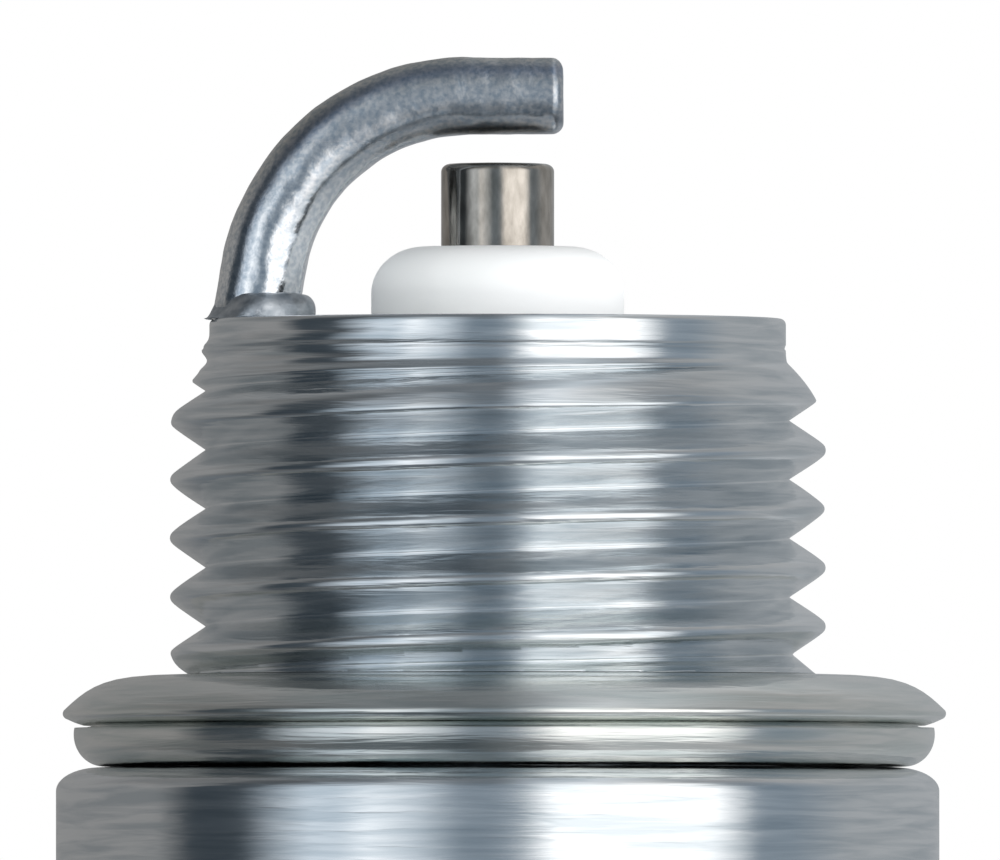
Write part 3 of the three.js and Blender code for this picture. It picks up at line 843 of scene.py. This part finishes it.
def stud():
    core = STUD_CORE_R
    low, high = STUD_LOW.z + 0.3, NUT_HIGH.z - 0.05
    wall = helical_wall(STUD_PITCH, STUD_LOW.z, low, high, stud_thread, STUD_ROUND, 20)
    shoulder = CERAMIC_LOW.z
    shank_r, sealed_end_r = 1.8, 1.45
    top = rounded([
        (core, high),
        (core, shoulder - 1.0, 0.06),
        (STUD_HIGH.x, shoulder - 1.0, 0.12),
        (STUD_HIGH.x, shoulder - 0.02, 0.08),
        (shank_r, shoulder - 0.02, 0.05),
        (shank_r, -19.2, 0.1),
        (sealed_end_r, -18.8, 0.1),
        (sealed_end_r, STUD_HIGH.z, 0.1),
        (0, STUD_HIGH.z),
    ])
    bottom = rounded([(0, STUD_LOW.z), (core - 0.25, STUD_LOW.z, 0.05), (core, low)])
    parts = [wall, revolve(top, STUD_ROUND), revolve(bottom, STUD_ROUND)]
    return add_piece("stud", parts, terminal_steel, "plug_body", ["terminal_stud"])


def nut():
    end_r, waist_r = 3.18, 2.6
    outline = rounded([
        (NUT_BORE_R + 0.2, NUT_LOW.z, 0.04),
        (end_r, NUT_LOW.z, 0.5),
        (end_r, -41.6, 0.5),
        (waist_r, -40.5, 0.5),
        (waist_r, -39.0, 0.5),
        (NUT_HIGH.x, -38.0, 0.25),
        (NUT_HIGH.x, NUT_HIGH.z, 0.2),
        (NUT_BORE_R + 0.2, NUT_HIGH.z, 0.04),
        (NUT_BORE_R, NUT_HIGH.z - 0.3, 0.05),
        (NUT_BORE_R, NUT_LOW.z + 0.2, 0.05),
    ], closed=True, steps=7)
    part = revolve(outline, SMALL_ROUND, closed=True)
    return add_piece("nut", [part], plated_steel, "terminal_nut", ["terminal_nut"])


# ---------- pieces that the CAD already shapes: sealed inside ----------


def finish_inner_nodes():
    copper = plain_grain("copper", (0.72, 0.42, 0.25), (0.82, 0.5, 0.32), 1, 0.3, 0.3, 0.004)
    glass = plain_grain("glass_seal", (0.05, 0.07, 0.065), (0.1, 0.12, 0.11), 0, 0.35, 0.2, 0.01)
    carbon = plain_grain("carbon_glass", (0.02, 0.02, 0.022), (0.05, 0.05, 0.055), 0, 0.7, 0.15, 0.02)
    powder = plain_grain("talc", (0.74, 0.7, 0.62), (0.82, 0.79, 0.72), 0, 0.9, 0.12, 0.02)
    steel = plain_grain("steel", (0.45, 0.46, 0.47), (0.58, 0.59, 0.6), 1, 0.35, 0.3, 0.006)
    finishes = {
        "center_electrode_core": copper,
        "lower_glass_seal": glass,
        "upper_glass_seal": glass,
        "resistor": carbon,
        "talc_ring": powder,
        "insulator_seat_washer": steel,
        "lower_packing_ring": steel,
        "upper_packing_ring": steel,
    }
    for name, material in finishes.items():
        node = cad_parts[name]
        for holder in node.material_slots:
            holder.material = material


# ---------- camera, floor and light ----------


def look_from_the_front():
    """A long lens level with the thread, as wide as the firing end."""
    field_width, distance, upward = 21.23, 750.0, math.radians(0.87)
    target = Vector((0.05, 0, REACH - 2.36))
    data = bpy.data.cameras.new("camera")
    data.sensor_width = 36
    data.lens = data.sensor_width * distance / field_width
    data.clip_start, data.clip_end = 0.01, 10
    camera = bpy.data.objects.new("camera", data)
    back = Vector((0, -math.cos(upward), -math.sin(upward)))
    camera.location = (target + back * distance) * MM
    camera.rotation_mode = "QUATERNION"
    camera.rotation_quaternion = (-back).to_track_quat("-Z", "Y")
    bpy.context.scene.collection.objects.link(camera)
    bpy.context.scene.camera = camera


def pale_floor():
    """A plain round floor, low enough to leave room for the nut when it is off."""
    radius, drop = 3.0, 0.014
    bpy.ops.mesh.primitive_circle_add(vertices=128, radius=radius, fill_type="NGON",
                                      location=(0, 0, NUT_LOW.z * MM - drop))
    floor = bpy.context.object
    floor.name = "floor"
    finish = Finish("floor", (0.9, 0.9, 0.9), 0, 0.8)
    finish.color(finish.blend(finish.noise((60, 60, 60)), (0.89, 0.89, 0.89), (0.91, 0.91, 0.91)))
    finish.shader.inputs["Emission Color"].default_value = (1, 1, 1, 1)
    finish.shader.inputs["Emission Strength"].default_value = 0.4
    floor.data.materials.append(finish.material)
    floor.visible_glossy = False
    floor.visible_diffuse = False


# The surroundings that the zinc reflects, each as (from, to, brightness, coolness), in order.
# Brightness is how bright zinc plate looks when it reflects the panel: 1 is white. Between
# two panels the light changes evenly.
ROUND_THE_PLUG = [                 # in degrees: 0 is towards the camera, 90 on its right
    (-180, -100, 0.5, 0),          # far wall
    (-88, -70, 0.25, 0.1),         # dark flag
    (-50, -42, 0.8, 0.05),         # edge of the strip light
    (-34, -34, 0.95, 0.02),        # strip light
    (-22, -22, 0.8, 0.04),
    (-10, 0, 0.5, 0.09),           # camera side
    (6, 6, 0.6, 0.06),
    (16, 56, 1.08, 0),             # large soft box
    (72, 84, 0.52, 0.08),          # grey card
    (105, 180, 0.6, 0.02),         # far wall
]
OVERHEAD_BEHIND = [                # from 0 on the left to 1 on the right
    (0, 0.2, 0.35, 0),
    (0.35, 0.5, 0.5, 0.02),
    (0.56, 0.63, 0.72, 0.02),      # lamp
    (0.7, 1, 0.6, 0),
]
OVERHEAD_IN_FRONT = [
    (0, 0.2, 0.35, 0.02),
    (0.36, 0.36, 0.47, 0.04),
    (0.44, 0.5, 0.4, 0.05),
    (0.56, 0.56, 0.65, 0.04),
    (0.63, 0.63, 0.78, 0.03),      # lamp
    (0.7, 0.7, 0.68, 0.02),
    (0.8, 1, 0.55, 0),
]
TABLE = [
    (0, 0.1, 0.35, 0.02),
    (0.27, 0.27, 0.4, 0.06),
    (0.42, 0.42, 0.3, 0.08),
    (0.56, 0.56, 0.45, 0.03),
    (0.66, 0.74, 0.68, 0.02),
    (0.93, 1, 0.56, 0.02),
]


def seen_in_metal(value, cool):
    """Radiance that looks this bright, 0 to 1, when zinc plate reflects it."""
    linear = value ** DISPLAY_GAMMA / ZINC_REFLECTANCE
    return (linear * (1 - 2 * cool), linear, linear * (1 + 2 * cool))


def studio_world():
    """White to look at; in reflections a ring of soft panels, grey above and dark below."""
    world = bpy.data.worlds.new("studio")
    bpy.context.scene.world = world
    world.use_nodes = True
    graph = NodeGraph(world.node_tree)
    background = graph.nodes["Background"]
    x, y, z = graph.split(graph.nodes.new("ShaderNodeTexCoord").outputs["Generated"])
    turn = graph.compute("ARCTAN2", x, graph.compute("MULTIPLY", y, -1))
    round_about = graph.compute("ADD", graph.compute("DIVIDE", turn, 2 * math.pi), 0.5)
    from_left = graph.compute("ADD", graph.compute("MULTIPLY", x, 0.5), 0.5)

    def metal_ramp(source, panels, turn=1, shift=0):
        stops = []
        for start, end, value, cool in panels:
            for place in sorted({start, end}):
                stops.append((place / turn + shift, seen_in_metal(value, cool)))
        return graph.ramp(source, stops)

    panels = metal_ramp(round_about, ROUND_THE_PLUG, turn=360, shift=0.5)
    ceiling = graph.mix(graph.smooth_band(y, 0.1, 0.5), metal_ramp(from_left, OVERHEAD_IN_FRONT),
                        metal_ramp(from_left, OVERHEAD_BEHIND))
    upper = graph.mix(graph.smooth_band(z, 0.2, 1.05), panels, ceiling)
    below = graph.smooth_band(graph.compute("MULTIPLY", z, -1), 0.1, 0.65)
    reflected = graph.mix(below, upper, metal_ramp(from_left, TABLE))

    # soft light for the ceramic, stronger from the right and near the horizon
    soft = graph.ramp(from_left, [
        (0.0, (0.4, 0.43, 0.43)),
        (0.45, (1.42, 1.44, 1.44)),
        (1.0, (1.55, 1.55, 1.55)),
    ])
    soft = graph.scaled(soft, graph.smooth_band(graph.compute("ABSOLUTE", z), 0.1, 0.6, 1.75, 0.44))
    path = graph.nodes.new("ShaderNodeLightPath")
    matt = graph.compute("GREATER_THAN", path.outputs["Diffuse Depth"], 0.5)
    lit = graph.mix(matt, reflected, soft)
    seen = graph.mix(path.outputs["Is Camera Ray"], lit, (1.0, 1.0, 1.0))
    graph.links.new(seen, background.inputs["Color"])
    background.inputs["Strength"].default_value = 1


def soft_key():
    """One large soft light for the matt pieces, from the right, in front and above."""
    data = bpy.data.lights.new("key", "AREA")
    data.shape = "DISK"
    data.size = 0.25
    data.energy = 0.2
    light = bpy.data.objects.new("key", data)
    light.location = (0.3, -0.35, 0.12)
    light.rotation_mode = "QUATERNION"
    light.rotation_quaternion = (-light.location).to_track_quat("-Z", "Y")
    light.visible_glossy = False
    bpy.context.scene.collection.objects.link(light)


look_from_the_front()
bpy.context.scene.view_settings.view_transform = "Standard"
pale_floor()
studio_world()
soft_key()
metal_shell()
gasket_ring()
ceramic()
centre_pin()
ground_bar()
ground_weld()
stud()
nut()
finish_inner_nodes()
